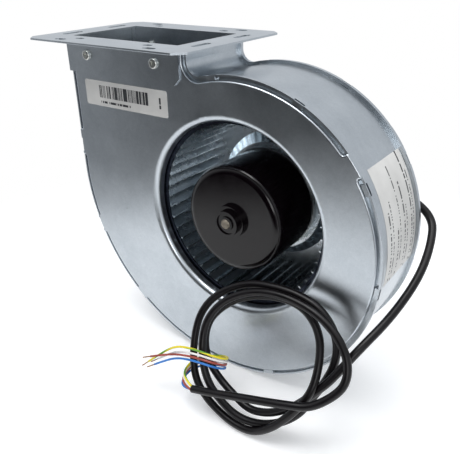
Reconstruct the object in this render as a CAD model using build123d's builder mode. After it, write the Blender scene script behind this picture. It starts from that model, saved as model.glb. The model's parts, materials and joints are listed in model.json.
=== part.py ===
from build123d import *
from math import atan2, cos, degrees, hypot, pi, radians, sin, sqrt, tan
import os

# Single-inlet centrifugal blower: a galvanised scroll housing, a forward-curved impeller carried by
# an external-rotor motor in its eye, an outlet flange on top and a flexible supply cable.
# Millimetres, +Z up. The origin is the middle of the outlet, on the flange's sealing face. The fan
# axis runs along Y and the intake side faces -Y. Profiles across the fan are drawn on upright
# planes whose own x and y are +X and +Z from the fan axis.

os.makedirs("parts", exist_ok=True)

# ---------------------------------------------------------------- housing sizes
SHEET = 1.0               # side plates and scroll wrapper
HOUSING_DEPTH = 73.0      # over the outer faces of both side plates
OUTLET_RISE = 124.0       # flange face above the fan axis
TOP_REACH = 108.0         # plate edge from the fan axis: up, right, down and left
RIGHT_REACH = 120.0
BOTTOM_REACH = 139.5
LEFT_REACH = 163.0
ARC_MID_Z = -9.0          # height at which the top arc hands over to the right-hand arc
DUCT_WIDTH = 125.0        # over the plate edges at the outlet
TONGUE_R = 9.5            # hollow corner between the duct wall and the scroll
RIM_OVERHANG = 2.5        # plate edge beyond the wrapper's outer surface
BAND_WIDTH = 3.9          # recessed joint band round each plate
BAND_DEPTH = 3.5
BAND_WALL = 1.6           # step between band and main face
SHOULDER_R = 1.3
LIP_SHEET = 1.3           # turned-up edge outside the joint band
LIP_RISE = 2.2
NOZZLE_R = 80.0           # where the intake nozzle starts to roll inward
NOZZLE_ROLL = 5.0
THROAT_LENGTH = 3.0       # straight part behind the roll
TAB_LENGTH = 10.0         # folded tabs that clinch the wrapper to the plates
TAB_EDGE = 0.3            # tab tip short of the plate edge
TAB_GAP = 0.2             # tab clear of its notch and of its slot
TAB_LIFT = 1.3            # folded tab above the band
TAB_ANGLES = (99, 61, 25, -11, -75, -136, -164, 169)
LANDS = ((29, 38), (164, 172), (193, 199), (222, 227))   # rim level with the face
LAND_CORNER = 1.5

# ---------------------------------------------------------------- outlet flange sizes
FLANGE_SHEET = 1.5
FLANGE_X = 163.0
FLANGE_Y = 127.0
FLANGE_CUT = 8.0          # clipped corners
OUTLET_LAP = 3.25         # flange over the duct's side walls
LEG_DROP = 28.0           # folded legs, down from the sealing face
LEG_SHORT = 5.0           # right-hand end of each leg inside the duct's edge
LEG_CUT = 5.0
LEG_EDGE_R = 0.5
BOLT_X = 94.0             # fixing slots, centre to centre
BOLT_Y = 110.0
BOLT_SLOT = 11.0
BOLT_WIDTH = 5.5
ALT_X = 72.0              # second, closer slot pattern
ALT_Y = 90.0
ALT_SLOT = 8.0
ALT_WIDTH = 5.0
SIDE_X = 137.2            # long slots in the side strips
SIDE_Y = 50.0
SIDE_SLOT = 20.0
SIDE_WIDTH = 5.0
LEG_SCREW_GAP = 72.8      # between the two screws of a leg
LEG_SCREW_SHIFT = 2.4     # their middle, left of the outlet's middle
LEG_SCREW_Z = -13.7
LEG_SCREW_R = 1.9
LEG_SCREW_HEAD_R = 4.0
LEG_SCREW_HEAD = 2.2
LEG_SCREW_DOME = 1.3
LEG_SCREW_LENGTH = 5.0
DRIVE_R = 1.7             # hexagon recess across its corners
DRIVE_DEPTH = 1.3

# ---------------------------------------------------------------- impeller sizes
BLADES = 46
BLADE_SHEET = 0.7
BLADE_IN_R = 70.0
BLADE_OUT_R = 90.0
BLADE_ARC_R = 22.4
BLADE_START = -26.0       # front ends of the blades, along Y
BLADE_LENGTH = 54.5
RING_SHEET = 1.0
RING_IN_R = 72.0
RING_OUT_R = 92.0
BLADE_TAB_R = 75.5        # folded blade ends seen inside the throat
BLADE_TAB = 2.6
BLADE_TAB_SHEET = 0.6
DISC_CONE_R = 53.8        # flat ring of the back disc ends here
DISC_CONE_IN_R = 46.0
DISC_CONE_RISE = 8.0
DISC_COLLAR = 7.0         # collar gripping the rotor cup

# ---------------------------------------------------------------- motor sizes
CUP_R = 42.5
CUP_WALL = 1.5
CUP_FACE = -36.0          # front face of the rotor cup, along Y
CUP_LENGTH = 56.0
CUP_EDGE_R = 6.0
BOSS_R = 13.0
BOSS_STEP = 3.6
BOSS_TOP_R = 10.0
BOSS_HEIGHT = 7.5
BOSS_RIM = 1.6
BOSS_RECESS = 1.2
HUB_RING_R = 5.6
HUB_R = 8.6
HUB_DEPTH = 8.0           # hub inside the cup, behind its face
SHAFT_R = 4.0
SHAFT_NOSE = 1.0          # shaft proud of the boss
SHAFT_TAIL = 24.0         # rear end of the shaft, along Y
BEARING_R = 11.0          # 608 size
BEARING_WIDTH = 7.0
BEARING_RACE = 2.2
BALL_R = 1.9
BALLS = 7
BALL_GAP = 0.05
SPRING_GAP = 1.0          # compressed spring washer in front of the front bearing
CLIP_GROOVE = 0.6
CLIP_WIDTH = 1.0
CLIP_R = 6.2
TUBE_R = 14.0             # bearing tube of the motor flange
TUBE_BORE = 9.5
TUBE_NOSE = 0.5           # tube in front of the bearing's face
FLANGE_R = 45.0
MOTOR_FLANGE = 6.0
STATOR_START = -18.0
STATOR_LENGTH = 28.0
AIR_GAP = 0.3
CAGE_WALL = 6.5
CAGE_OVERHANG = 3.0
STATOR_SLOTS = 18
SLOT_WIDTH = 4.0
SLOT_IN_R = 19.0
SLOT_OUT_R = 31.0
INSULATOR = 1.2
COIL_OUT_R = 32.0
COIL_HEIGHT = 6.4
WIRE_GAP = 0.2            # winding clear of the slot walls
MOTOR_BOLT_R = 38.0
MOTOR_BOLTS = 4
MOTOR_SCREW_R = 2.0
MOTOR_SCREW_HEAD_R = 4.0
MOTOR_SCREW_HEAD = 2.4
MOTOR_SCREW_DEPTH = 5.0

# ---------------------------------------------------------------- cable sizes
CABLE_R = 3.0
CORE_R = 0.85
TIP_R = 0.5
TIP_LENGTH = 8.0
CAP_R = 27.0              # terminal cap on the back plate
CAP_WALL = 2.0
CAP_HEIGHT = 13.0
CAP_HOLE_R = 21.0         # opening in the back plate under the cap
CAP_SCREW_R = 1.5
CAP_SCREW_HEAD_R = 3.0
CAP_SCREW_HEAD = 1.8
CAP_SCREW_DEPTH = 6.0
CAP_LUG = 7.0
CAP_LUG_HEIGHT = 2.5
CAP_SPOUT_R = 6.2
CAP_SPOUT = 6.0
CABLE_BACK = 6.5          # cable line behind the back plate
GROMMET_R = 5.0
GROMMET_LIP = 1.5
GROMMET_LIP_R = 6.3
SADDLE_LENGTH = 7.0
SADDLE_WALL = 2.2
SADDLE_FOOT = 8.0
SADDLE_FOOT_HEIGHT = 2.4
LABEL_SHEET = 0.15
LABEL_CORNER = 2.0
BARCODE_W = 90.5
BARCODE_H = 20.5
BARCODE_X = -102.2        # label middle from the fan axis
BARCODE_Z = 80.5
RATING_START = -12.0      # wrapped label, angles round the fan axis
RATING_END = 30.0
RATING_WIDTH = 53.0
RATING_Y = 5.0

# ---------------------------------------------------------------- cable route
# Cable centre line from inside the terminal cap, out through the grommet, over the saddle, round
# the right-hand rim and forward and down to the coil.
ROUTE = [
    (120.5, 43.0, -124.0),
    (150.0, 43.0, -124.0),
    (178.0, 43.0, -113.0),
    (205.0, 43.0, -106.0),
    (226.0, 43.5, -119.0),
    (232.0, 26.5, -132.0),
    (234.0, 1.5, -147.0),
    (227.5, -27.5, -166.0),
    (216.5, -56.5, -182.0),
    (205.0, -66.5, -204.0),
]
SADDLE_RUN = 1            # the run of the route that the saddle holds
# The coil leans back against the intake side. Points on it are (right, up the slope, forward).
LEAN = 25.0               # degrees from upright
COIL_MIDDLE = (151.5, -64.5, -214.0)
COIL_OUTER = (67.0, 58.0)
COIL_OUTER_AT = (1.5, 3.0)
COIL_HOLE = (43.0, 38.0)
COIL_HOLE_AT = (-5.0, 2.0)
COIL_BACK = -1.0
COIL_FRONT = 18.0
COIL_EDGE_R = 4.0
# The four cores leave the jacket at the coil's lower left, pass behind its left-hand strands and
# come forward through its hole; each then has its own way to its stripped end.
CORE_LOOP = [
    (-46.0, -38.5, 17.0),
    (-56.0, -37.5, 17.5),
    (-63.0, -33.0, 9.0),
    (-62.0, -26.0, -4.0),
    (-50.0, -20.5, -9.0),
    (-37.0, -16.0, -6.5),
    (-29.0, -13.5, 5.0),
    (-33.0, -11.5, 16.5),
]
CORES = {
    "core_green_yellow": (3.5, [(-44.0, -7.5, 20.5), (-57.0, -9.0, 20.5), (-69.0, -12.5, 20.0),
                                (-80.0, -21.5, 19.0), (-93.0, -35.0, 18.0)]),
    "core_white": (1.0, [(-45.0, -10.5, 20.5), (-56.0, -12.5, 20.5), (-66.0, -16.0, 18.0),
                         (-76.0, -22.0, 16.0), (-87.0, -31.0, 15.0)]),
    "core_red": (-1.5, [(-44.0, -13.0, 20.5), (-56.0, -15.0, 21.0), (-68.0, -18.5, 21.0),
                        (-79.0, -23.5, 21.5), (-89.0, -28.5, 22.0)]),
    "core_blue": (-4.5, [(-41.0, -15.5, 20.5), (-53.0, -17.0, 21.0), (-65.0, -20.5, 20.5),
                         (-75.0, -26.5, 20.0), (-85.0, -34.0, 20.0)]),
}
CORE_PACK = 1.2           # half the spacing of the cores inside the jacket

# ---------------------------------------------------------------- derived places
FAN_X = LEFT_REACH - DUCT_WIDTH / 2
FAN_Z = -OUTLET_RISE
FACE_Y = HOUSING_DEPTH / 2
BAND_Y = FACE_Y - BAND_DEPTH
WRAP_Y = BAND_Y - SHEET
PLATE_TOP = OUTLET_RISE - FLANGE_SHEET
FLOOR_Z = FAN_Z - BOTTOM_REACH
TOP_ARC_R = TOP_REACH - ARC_MID_Z
RIGHT_ARC_R = BOTTOM_REACH + ARC_MID_Z
TOP_ARC_X = RIGHT_REACH - TOP_ARC_R
RIGHT_ARC_X = RIGHT_REACH - RIGHT_ARC_R
BOTTOM_ARC_R = LEFT_REACH + RIGHT_ARC_X
BOTTOM_ARC_Z = BOTTOM_ARC_R - BOTTOM_REACH
DUCT_RIGHT = DUCT_WIDTH - LEFT_REACH
THROAT_R = NOZZLE_R - NOZZLE_ROLL
CUP_BACK = CUP_FACE + CUP_LENGTH
CUP_BORE = CUP_R - CUP_WALL
BOSS_TOP = CUP_FACE - BOSS_HEIGHT
HUB_BACK = CUP_FACE + HUB_DEPTH
FRONT_BEARING = HUB_BACK + SPRING_GAP
STATOR_END = STATOR_START + STATOR_LENGTH
REAR_BEARING = STATOR_END + INSULATOR + 1.0
CAGE_BORE = CUP_BORE - CAGE_WALL
STATOR_R = CAGE_BORE - AIR_GAP
MOTOR_SEAT = FACE_Y - SHEET
MOTOR_FACE = MOTOR_SEAT - MOTOR_FLANGE
DISC_START = BLADE_START + BLADE_LENGTH
CABLE_Y = FACE_Y + CABLE_BACK
CAP_SCREW_LINE = CAP_R + CAP_LUG / 2

FAN_AXIS = Axis((FAN_X, 0, FAN_Z), (0, 1, 0))
TURNING = Plane(origin=(FAN_X, 0, FAN_Z), x_dir=(1, 0, 0), z_dir=(0, 0, 1))


LEANING = Plane(
    origin=COIL_MIDDLE,
    x_dir=(1, 0, 0),
    z_dir=(0, -cos(radians(LEAN)), sin(radians(LEAN))),
)
saddle_from = Vector(*ROUTE[SADDLE_RUN])
saddle_to = Vector(*ROUTE[SADDLE_RUN + 1])
SADDLE = Plane(
    origin=(saddle_from + saddle_to) / 2,
    x_dir=(0, 1, 0),
    z_dir=saddle_to - saddle_from,
)
saddle_foot = SADDLE.from_local_coords((0, CABLE_R + SADDLE_WALL + SADDLE_FOOT / 2, 0))
saddle_screw_at = (saddle_foot.X - FAN_X, saddle_foot.Z - FAN_Z)


def upright(y):
    """Drawing plane at depth y: centred on the fan axis, x right and y up, seen from the intake."""
    return Plane(origin=(FAN_X, y, FAN_Z), x_dir=(1, 0, 0), z_dir=(0, -1, 0))


def around(radius, angle):
    """Point at a radius and an angle (degrees, right to up) round the fan axis."""
    return (radius * cos(radians(angle)), radius * sin(radians(angle)))


def scroll_face(inset, top):
    """Scroll and duct outline, moved in from the plate edge by inset and cut off at height top."""
    wall = DUCT_RIGHT - inset
    left = inset - LEFT_REACH
    tongue_x = DUCT_RIGHT + TONGUE_R
    tongue_z = ARC_MID_Z + sqrt((TOP_ARC_R + TONGUE_R) ** 2 - (tongue_x - TOP_ARC_X) ** 2)
    sweep_angle = degrees(atan2(tongue_z - ARC_MID_Z, tongue_x - TOP_ARC_X))
    with BuildSketch() as face:
        with BuildLine():
            Line((left, top), (wall, top))
            Line((wall, top), (wall, tongue_z))
            CenterArc((tongue_x, tongue_z), TONGUE_R + inset, 180, sweep_angle)
            CenterArc((TOP_ARC_X, ARC_MID_Z), TOP_ARC_R - inset, 0, sweep_angle)
            CenterArc((RIGHT_ARC_X, ARC_MID_Z), RIGHT_ARC_R - inset, -90, 90)
            CenterArc((RIGHT_ARC_X, BOTTOM_ARC_Z), BOTTOM_ARC_R - inset, 180, 90)
            Line((left, BOTTOM_ARC_Z), (left, top))
        make_face()
    return face.sketch


def rim_pieces(outer, inner, spans):
    """Stretches of the strip between two insets, one for each pair of angles in spans."""
    with BuildSketch() as slices:
        for start, end in spans:
            Polygon((0, 0), around(2 * LEFT_REACH, start), around(2 * LEFT_REACH, end))
    with BuildSketch() as strip:
        add(scroll_face(outer, PLATE_TOP))
        add(scroll_face(inner, PLATE_TOP + inner), mode=Mode.SUBTRACT)
        add(slices.sketch, mode=Mode.INTERSECT)
    return strip.sketch


def tab_spans(spare):
    """Angles that each folded tab covers, with spare millimetres at both ends."""
    spans = []
    for angle in TAB_ANGLES:
        half = degrees((TAB_LENGTH / 2 + spare) / BOTTOM_REACH)
        spans.append((angle - half, angle + half))
    return spans


def raised_face():
    """Main face of a side plate with the level stretches of its rim, rounded where they meet."""
    plain = scroll_face(BAND_WIDTH, PLATE_TOP)
    with BuildSketch() as raised:
        add(plain)
        add(rim_pieces(0, BAND_WIDTH + BAND_WALL, LANDS))
        known = [vertex.center() for vertex in plain.vertices()]
        corners = []
        for vertex in raised.vertices():
            nearest = min((vertex.center() - place).length for place in known)
            if nearest > LAND_CORNER and vertex.Y < PLATE_TOP - LAND_CORNER:
                corners.append(vertex)
        fillet(corners, LAND_CORNER)
    return raised.sketch


def pressed_plate(side):
    """Side plate with its recessed joint band; side is -1 at the intake and 1 at the motor."""
    with BuildPart() as plate:
        with BuildSketch(upright(side * BAND_Y)):
            add(scroll_face(0, PLATE_TOP))
        extrude(amount=side * SHEET)
        with BuildSketch(upright(side * FACE_Y)):
            add(raised_face())
        extrude(amount=side * (BAND_DEPTH + SHEET))
        outline = plate.faces().sort_by(Axis.Y)[0 if side < 0 else -1].edges()
        top_edge = outline.sort_by(Axis.Z)[-1]
        fillet([edge for edge in outline if edge != top_edge], SHOULDER_R)
        with BuildSketch(upright(side * BAND_Y)):
            add(scroll_face(0, PLATE_TOP))
            add(scroll_face(LIP_SHEET, PLATE_TOP + LIP_SHEET), mode=Mode.SUBTRACT)
        extrude(amount=-side * LIP_RISE)
        with BuildSketch(upright(side * (FACE_Y - SHEET))):
            add(scroll_face(BAND_WIDTH + BAND_WALL, PLATE_TOP))
        extrude(amount=side * BAND_DEPTH, mode=Mode.SUBTRACT)
        with BuildSketch(upright(side * BAND_Y)):
            add(rim_pieces(0, RIM_OVERHANG + SHEET + TAB_GAP, tab_spans(TAB_GAP)))
        extrude(amount=-side * BAND_DEPTH, mode=Mode.SUBTRACT)
        with BuildSketch(upright(side * BAND_Y)):
            add(rim_pieces(RIM_OVERHANG - TAB_GAP, RIM_OVERHANG + SHEET + TAB_GAP, tab_spans(TAB_GAP)))
        extrude(amount=side * SHEET, mode=Mode.SUBTRACT)
    return plate.part


def bend_radii(points):
    """Arc radius at each corner of a route, as large as its two runs leave room for."""
    radii = []
    for before, here, after in zip(points, points[1:], points[2:]):
        first = Vector(*here) - Vector(*before)
        second = Vector(*after) - Vector(*here)
        half_turn = radians(first.get_angle(second) / 2)
        radii.append(0.45 * min(first.length, second.length) / tan(half_turn))
    return radii


# ================================================================ housing
with BuildPart() as front_plate:
    add(pressed_plate(-1))
    with BuildSketch(upright(-FACE_Y)):
        Circle(NOZZLE_R)
    extrude(amount=-SHEET, mode=Mode.SUBTRACT)
    with BuildSketch(TURNING):
        with BuildLine():
            roll_y = NOZZLE_ROLL - FACE_Y
            outside = CenterArc((NOZZLE_R, roll_y), NOZZLE_ROLL, 180, 90)
            inside = CenterArc((NOZZLE_R, roll_y), NOZZLE_ROLL - SHEET, 180, 90)
            Line(outside @ 1, inside @ 1)
            Polyline(
                outside @ 0,
                (THROAT_R, roll_y + THROAT_LENGTH),
                (THROAT_R + SHEET, roll_y + THROAT_LENGTH),
                inside @ 0,
            )
        make_face()
    revolve(axis=FAN_AXIS)
    with BuildSketch(upright(-FACE_Y)):
        with Locations((-FAN_X - LEG_SCREW_SHIFT, OUTLET_RISE + LEG_SCREW_Z)):
            with GridLocations(LEG_SCREW_GAP, 1, 2, 1):
                Circle(LEG_SCREW_R)
    extrude(amount=-SHEET, mode=Mode.SUBTRACT)
front_plate.part.label = "front_plate"
export_step(front_plate.part, "parts/front_plate.step")

with BuildPart() as back_plate:
    add(pressed_plate(1))
    with BuildSketch(upright(FACE_Y)):
        Circle(CAP_HOLE_R)
        with PolarLocations(MOTOR_BOLT_R, MOTOR_BOLTS, start_angle=45):
            Circle(MOTOR_SCREW_R)
        with GridLocations(1, 2 * CAP_SCREW_LINE, 1, 2):
            Circle(CAP_SCREW_R)
        with Locations(saddle_screw_at):
            Circle(CAP_SCREW_R)
        with Locations((-FAN_X - LEG_SCREW_SHIFT, OUTLET_RISE + LEG_SCREW_Z)):
            with GridLocations(LEG_SCREW_GAP, 1, 2, 1):
                Circle(LEG_SCREW_R)
    extrude(amount=SHEET, mode=Mode.SUBTRACT)
back_plate.part.label = "back_plate"
export_step(back_plate.part, "parts/back_plate.step")

with BuildPart() as scroll_wrapper:
    with BuildSketch(upright(-WRAP_Y)):
        add(scroll_face(RIM_OVERHANG, PLATE_TOP))
        add(scroll_face(RIM_OVERHANG + SHEET, OUTLET_RISE), mode=Mode.SUBTRACT)
    extrude(amount=-2 * WRAP_Y)
    for side in (-1, 1):
        with BuildSketch(upright(side * WRAP_Y)):
            add(rim_pieces(RIM_OVERHANG, RIM_OVERHANG + SHEET, tab_spans(0)))
        extrude(amount=-side * (SHEET + TAB_LIFT + SHEET))
        with BuildSketch(upright(side * (BAND_Y + TAB_LIFT))):
            add(rim_pieces(TAB_EDGE, RIM_OVERHANG + SHEET, tab_spans(0)))
        extrude(amount=-side * SHEET)
scroll_wrapper.part.label = "scroll_wrapper"
export_step(scroll_wrapper.part, "parts/scroll_wrapper.step")

with BuildPart() as outlet_flange:
    with BuildSketch(Plane.XY.offset(-FLANGE_SHEET)):
        frame = Rectangle(FLANGE_X, FLANGE_Y)
        chamfer(frame.vertices(), FLANGE_CUT)
        Rectangle(
            DUCT_WIDTH - 2 * (RIM_OVERHANG + SHEET + OUTLET_LAP),
            HOUSING_DEPTH - 2 * SHEET,
            mode=Mode.SUBTRACT,
        )
        with GridLocations(BOLT_X, BOLT_Y, 2, 2):
            SlotOverall(BOLT_SLOT, BOLT_WIDTH, mode=Mode.SUBTRACT)
        with GridLocations(ALT_X, ALT_Y, 2, 2):
            SlotOverall(ALT_SLOT, ALT_WIDTH, mode=Mode.SUBTRACT)
        with GridLocations(SIDE_X, SIDE_Y, 2, 2):
            SlotOverall(SIDE_SLOT, SIDE_WIDTH, rotation=90, mode=Mode.SUBTRACT)
    extrude(amount=FLANGE_SHEET)
    for side in (-1, 1):
        leg_y = side * (FACE_Y + (FLANGE_SHEET if side < 0 else 0))
        with BuildSketch(Plane.XZ.offset(-leg_y)):
            with BuildLine():
                Polyline(
                    (-DUCT_WIDTH / 2, 0),
                    (DUCT_WIDTH / 2 - LEG_SHORT, 0),
                    (DUCT_WIDTH / 2 - LEG_SHORT, LEG_CUT - LEG_DROP),
                    (DUCT_WIDTH / 2 - LEG_SHORT - LEG_CUT, -LEG_DROP),
                    (-DUCT_WIDTH / 2, -LEG_DROP),
                    close=True,
                )
            make_face()
            with Locations((-LEG_SCREW_SHIFT, LEG_SCREW_Z)):
                with GridLocations(LEG_SCREW_GAP, 1, 2, 1):
                    Circle(LEG_SCREW_R, mode=Mode.SUBTRACT)
        extrude(amount=-FLANGE_SHEET)
    for leg_face in (outlet_flange.faces().sort_by(Axis.Y)[0], outlet_flange.faces().sort_by(Axis.Y)[-1]):
        lower = [edge for edge in leg_face.edges().filter_by(GeomType.LINE) if edge.center().Z < -1]
        fillet(lower, LEG_EDGE_R)
outlet_flange.part.label = "outlet_flange"
export_step(outlet_flange.part, "parts/outlet_flange.step")

with BuildPart() as flange_screws:
    for side in (-1, 1):
        seat = side * (FACE_Y + FLANGE_SHEET)
        with BuildSketch(Plane.XZ.offset(-seat)):
            with Locations((-LEG_SCREW_SHIFT, LEG_SCREW_Z)):
                with GridLocations(LEG_SCREW_GAP, 1, 2, 1):
                    Circle(LEG_SCREW_HEAD_R)
        extrude(amount=-side * LEG_SCREW_HEAD)
        with BuildSketch(Plane.XZ.offset(-seat)):
            with Locations((-LEG_SCREW_SHIFT, LEG_SCREW_Z)):
                with GridLocations(LEG_SCREW_GAP, 1, 2, 1):
                    Circle(LEG_SCREW_R)
        extrude(amount=side * LEG_SCREW_LENGTH)
        tops = flange_screws.faces().filter_by(Axis.Y).sort_by(Axis.Y)
        fillet((tops[:2] if side < 0 else tops[-2:]).edges(), LEG_SCREW_DOME)
        with BuildSketch(Plane.XZ.offset(-seat - side * LEG_SCREW_HEAD)):
            with Locations((-LEG_SCREW_SHIFT, LEG_SCREW_Z)):
                with GridLocations(LEG_SCREW_GAP, 1, 2, 1):
                    RegularPolygon(DRIVE_R, 6)
        extrude(amount=side * DRIVE_DEPTH, mode=Mode.SUBTRACT)
flange_screws.part.label = "flange_screws"
export_step(flange_screws.part, "parts/flange_screws.step")

# ================================================================ impeller
with BuildPart() as impeller_front_ring:
    with BuildSketch(upright(BLADE_START - RING_SHEET)):
        Circle(RING_OUT_R)
        Circle(RING_IN_R, mode=Mode.SUBTRACT)
    extrude(amount=-RING_SHEET)
    with BuildSketch(upright(BLADE_START - RING_SHEET)):
        with PolarLocations(BLADE_TAB_R, BLADES):
            Rectangle(BLADE_TAB, BLADE_TAB)
    extrude(amount=BLADE_TAB_SHEET)
impeller_front_ring.part.label = "impeller_front_ring"
export_step(impeller_front_ring.part, "parts/impeller_front_ring.step")

# A blade leaves the inner edge radially and curls forward, clockwise seen from the intake. Its arc
# reaches the outer radius where the circle about its own centre crosses it.
arc_reach = hypot(BLADE_IN_R, BLADE_ARC_R)
cross_cos = (BLADE_OUT_R ** 2 - arc_reach ** 2 - BLADE_ARC_R ** 2) / (2 * arc_reach * BLADE_ARC_R)
blade_sweep = degrees(pi - atan2(BLADE_IN_R, BLADE_ARC_R)) - degrees(
    atan2(sqrt(1 - cross_cos ** 2), cross_cos)
)
with BuildSketch() as blade_profile:
    with BuildLine():
        belly = CenterArc((BLADE_IN_R, -BLADE_ARC_R), BLADE_ARC_R + BLADE_SHEET / 2, 90, -blade_sweep)
        hollow = CenterArc((BLADE_IN_R, -BLADE_ARC_R), BLADE_ARC_R - BLADE_SHEET / 2, 90, -blade_sweep)
        Line(belly @ 0, hollow @ 0)
        Line(belly @ 1, hollow @ 1)
    make_face()
with BuildPart() as impeller_blades:
    with BuildSketch(upright(BLADE_START)):
        with PolarLocations(0, BLADES):
            add(blade_profile.sketch)
    extrude(amount=-BLADE_LENGTH)
impeller_blades.part.label = "impeller_blades"
export_step(impeller_blades.part, "parts/impeller_blades.step")

with BuildPart() as impeller_back_disc:
    with BuildSketch(TURNING):
        with BuildLine():
            cone_front = DISC_START - DISC_CONE_RISE
            Polyline(
                (RING_OUT_R, DISC_START),
                (RING_OUT_R, DISC_START + RING_SHEET),
                (DISC_CONE_R, DISC_START + RING_SHEET),
                (DISC_CONE_IN_R, cone_front + RING_SHEET),
                (CUP_R + RING_SHEET, cone_front + RING_SHEET),
                (CUP_R, cone_front + RING_SHEET),
                (CUP_R, cone_front - DISC_COLLAR),
                (CUP_R + RING_SHEET, cone_front - DISC_COLLAR),
                (CUP_R + RING_SHEET, cone_front),
                (DISC_CONE_IN_R, cone_front),
                (DISC_CONE_R, DISC_START),
                close=True,
            )
        make_face()
    revolve(axis=FAN_AXIS)
impeller_back_disc.part.label = "impeller_back_disc"
export_step(impeller_back_disc.part, "parts/impeller_back_disc.step")

# ================================================================ rotor
with BuildPart() as rotor_cup:
    with BuildSketch(TURNING):
        with BuildLine():
            Polyline(
                (SHAFT_R, BOSS_TOP),
                (HUB_RING_R, BOSS_TOP),
                (HUB_RING_R, BOSS_TOP + BOSS_RECESS),
                (BOSS_TOP_R - BOSS_RIM, BOSS_TOP + BOSS_RECESS),
                (BOSS_TOP_R - BOSS_RIM, BOSS_TOP),
                (BOSS_TOP_R, BOSS_TOP),
                (BOSS_TOP_R, BOSS_TOP + BOSS_STEP),
                (BOSS_R, BOSS_TOP + BOSS_STEP),
                (BOSS_R, CUP_FACE),
                (CUP_R, CUP_FACE),
                (CUP_R, CUP_BACK),
                (CUP_BORE, CUP_BACK),
                (CUP_BORE, CUP_FACE + CUP_WALL),
                (HUB_R, CUP_FACE + CUP_WALL),
                (HUB_R, HUB_BACK),
                (SHAFT_R, HUB_BACK),
                close=True,
            )
        make_face()
    revolve(axis=FAN_AXIS)
    front_edge = rotor_cup.edges().filter_by(GeomType.CIRCLE).filter_by(
        lambda edge: abs(edge.radius - CUP_R) < 0.01
    )
    fillet(front_edge.sort_by(Axis.Y)[0], CUP_EDGE_R)
rotor_cup.part.label = "rotor_cup"
export_step(rotor_cup.part, "parts/rotor_cup.step")

with BuildPart() as rotor_cage:
    with BuildSketch(upright(STATOR_START - CAGE_OVERHANG)):
        Circle(CUP_BORE)
        Circle(CAGE_BORE, mode=Mode.SUBTRACT)
    extrude(amount=-(STATOR_LENGTH + 2 * CAGE_OVERHANG))
rotor_cage.part.label = "rotor_cage"
export_step(rotor_cage.part, "parts/rotor_cage.step")

with BuildPart() as shaft:
    with BuildSketch(TURNING):
        with BuildLine():
            groove = REAR_BEARING + BEARING_WIDTH
            Polyline(
                (0, BOSS_TOP - SHAFT_NOSE),
                (SHAFT_R, BOSS_TOP - SHAFT_NOSE),
                (SHAFT_R, groove),
                (SHAFT_R - CLIP_GROOVE, groove),
                (SHAFT_R - CLIP_GROOVE, groove + CLIP_WIDTH),
                (SHAFT_R, groove + CLIP_WIDTH),
                (SHAFT_R, SHAFT_TAIL),
                (0, SHAFT_TAIL),
                close=True,
            )
        make_face()
    revolve(axis=FAN_AXIS)
    chamfer(shaft.faces().sort_by(Axis.Y)[0].edges(), CLIP_GROOVE)
shaft.part.label = "shaft"
export_step(shaft.part, "parts/shaft.step")

with BuildPart() as retaining_ring:
    with BuildSketch(upright(REAR_BEARING + BEARING_WIDTH)):
        Circle(CLIP_R)
        Circle(SHAFT_R - CLIP_GROOVE, mode=Mode.SUBTRACT)
        with Locations((0, CLIP_R)):
            Rectangle(2 * CLIP_GROOVE + CLIP_WIDTH, 2 * CLIP_R, mode=Mode.SUBTRACT)
    extrude(amount=-CLIP_WIDTH)
retaining_ring.part.label = "retaining_ring"
export_step(retaining_ring.part, "parts/retaining_ring.step")

with BuildPart() as spring_washer:
    with BuildSketch(upright(HUB_BACK)):
        Circle(SHAFT_R + BEARING_RACE)
        Circle(SHAFT_R, mode=Mode.SUBTRACT)
    extrude(amount=-SPRING_GAP)
spring_washer.part.label = "spring_washer"
export_step(spring_washer.part, "parts/spring_washer.step")

# ================================================================ bearings
ball_line = (SHAFT_R + BEARING_R) / 2
with BuildPart() as bearing_inner_rings:
    for start in (FRONT_BEARING, REAR_BEARING):
        with BuildSketch(upright(start)):
            Circle(SHAFT_R + BEARING_RACE)
            Circle(SHAFT_R, mode=Mode.SUBTRACT)
        extrude(amount=-BEARING_WIDTH)
        with BuildSketch(TURNING):
            with Locations((ball_line, start + BEARING_WIDTH / 2)):
                Circle(BALL_R)
        revolve(axis=FAN_AXIS, mode=Mode.SUBTRACT)
bearing_inner_rings.part.label = "bearing_inner_rings"
export_step(bearing_inner_rings.part, "parts/bearing_inner_rings.step")

with BuildPart() as bearing_outer_rings:
    for start in (FRONT_BEARING, REAR_BEARING):
        with BuildSketch(upright(start)):
            Circle(BEARING_R)
            Circle(BEARING_R - BEARING_RACE, mode=Mode.SUBTRACT)
        extrude(amount=-BEARING_WIDTH)
        with BuildSketch(TURNING):
            with Locations((ball_line, start + BEARING_WIDTH / 2)):
                Circle(BALL_R + BALL_GAP)
        revolve(axis=FAN_AXIS, mode=Mode.SUBTRACT)
bearing_outer_rings.part.label = "bearing_outer_rings"
export_step(bearing_outer_rings.part, "parts/bearing_outer_rings.step")

with BuildPart() as bearing_balls:
    for start in (FRONT_BEARING, REAR_BEARING):
        with Locations(upright(start + BEARING_WIDTH / 2)):
            with PolarLocations(ball_line, BALLS):
                Sphere(BALL_R)
bearing_balls.part.label = "bearing_balls"
export_step(bearing_balls.part, "parts/bearing_balls.step")

# ================================================================ stator
with BuildSketch() as slot_pattern:
    with PolarLocations((SLOT_IN_R + SLOT_OUT_R) / 2, STATOR_SLOTS):
        Rectangle(SLOT_OUT_R - SLOT_IN_R, SLOT_WIDTH)
with BuildSketch() as bar_pattern:
    with PolarLocations((SLOT_IN_R + SLOT_OUT_R) / 2, STATOR_SLOTS):
        Rectangle(SLOT_OUT_R - SLOT_IN_R - 2 * WIRE_GAP, SLOT_WIDTH - 2 * WIRE_GAP)

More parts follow.
